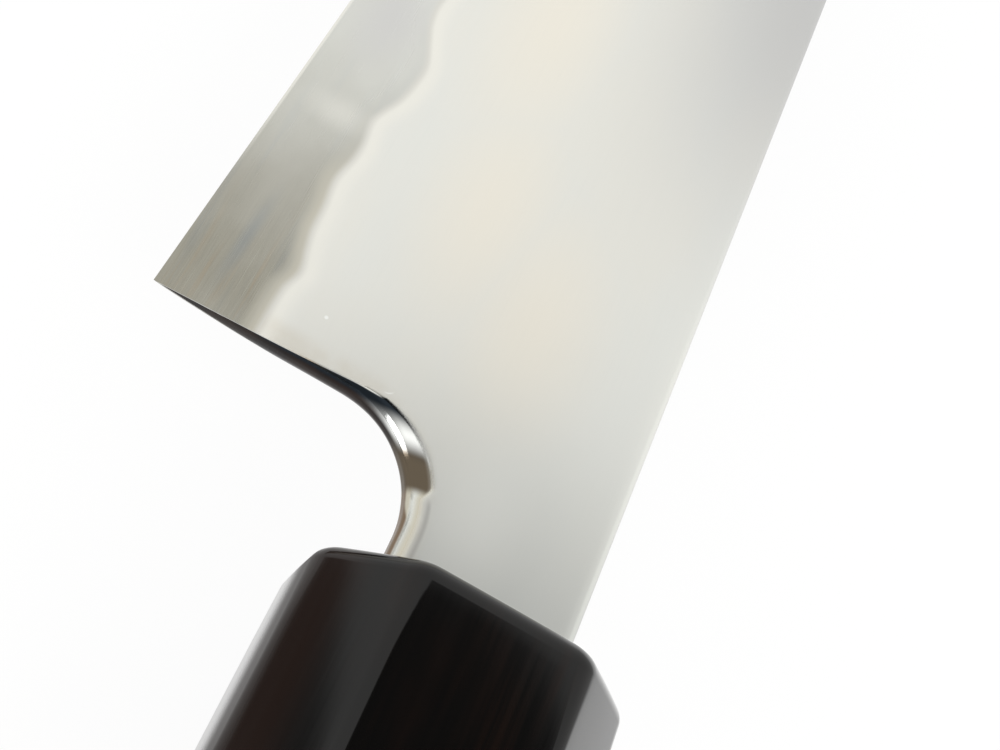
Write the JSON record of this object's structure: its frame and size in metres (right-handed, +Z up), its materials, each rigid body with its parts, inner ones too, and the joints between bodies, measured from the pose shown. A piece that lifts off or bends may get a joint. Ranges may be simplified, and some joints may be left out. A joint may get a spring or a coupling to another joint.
{
  "type": "slicing knife",
  "caption": "Long slim slicing knife with a forged layered blade, rounded choil, eight-sided wooden handle and a dark horn ferrule, lying on its side.",
  "frame": {"origin": "under the middle of the knife's box as it lies on its side, level with the lowest face of the handle", "axes": "+X from the blade's tip to the handle's butt, along the handle's axis; +Y from the cutting edge to the spine; +Z up, out of the knife's left face"},
  "size_m": [0.4272, 0.043, 0.0222],
  "materials": {
    "core_steel": "hard steel, finely polished lengthwise, darker and glossier than the iron beside it",
    "soft_iron": "soft iron, pale satin with fine lengthwise stone marks",
    "horn": "polished black horn",
    "black_filler": "black filler wiped flush",
    "handle_wood": "smooth pale straight-grained wood, waxed",
    "dowel_wood": "bare hardwood",
    "adhesive": "cured adhesive"
  },
  "bodies": {
    "root": {"core_steel": "core_steel", "cladding_left": "soft_iron", "cladding_right": "soft_iron", "ferrule": "horn", "mouth_seal": "black_filler", "handle": "handle_wood", "handle_dowel": "dowel_wood", "tang_bedding": "adhesive"}
  },
  "joints": []
}
